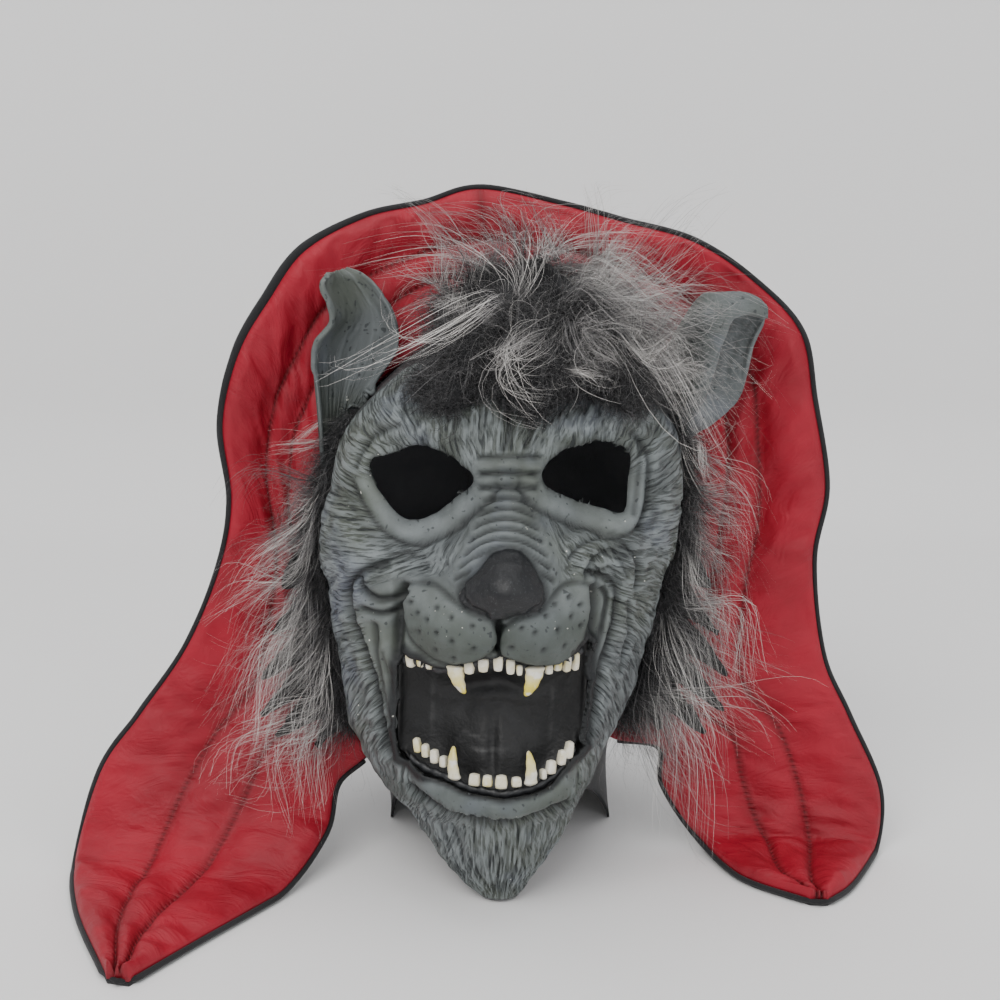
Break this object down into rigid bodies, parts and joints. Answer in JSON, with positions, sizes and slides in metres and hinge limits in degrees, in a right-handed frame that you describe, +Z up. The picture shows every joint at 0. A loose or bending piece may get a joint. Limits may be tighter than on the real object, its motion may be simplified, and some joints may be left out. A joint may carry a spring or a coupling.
{
  "type": "werewolf mask",
  "caption": "Latex werewolf costume mask standing on its chin, with faux fur, ears, open jaws with fangs, and a red-lined padded hood with two tails.",
  "frame": {"origin": "middle of the bounding box's underside, on the surface that the mask stands on", "axes": "+X to the viewer's right along the longest side, -Y where the face looks, +Z up"},
  "size_m": [0.441, 0.2892, 0.3579],
  "materials": {
    "latex": "matte",
    "black_cloth": "matte",
    "red_satin": "satin",
    "tooth": "gloss",
    "fur": "matte"
  },
  "bodies": {
    "root": {"face_shell": "latex", "ear_left": "latex", "ear_right": "latex", "mouth_liner": "black_cloth", "upper_teeth": "tooth", "lower_teeth": "tooth", "fang_upper_left": "tooth", "fang_upper_right": "tooth", "fang_lower_left": "tooth", "fang_lower_right": "tooth", "fur_crest": "fur", "fur_left": "fur", "fur_right": "fur", "head_back": "black_cloth", "hood_lining": "red_satin", "hood_shell": "black_cloth", "hood_piping": "black_cloth"}
  },
  "joints": []
}
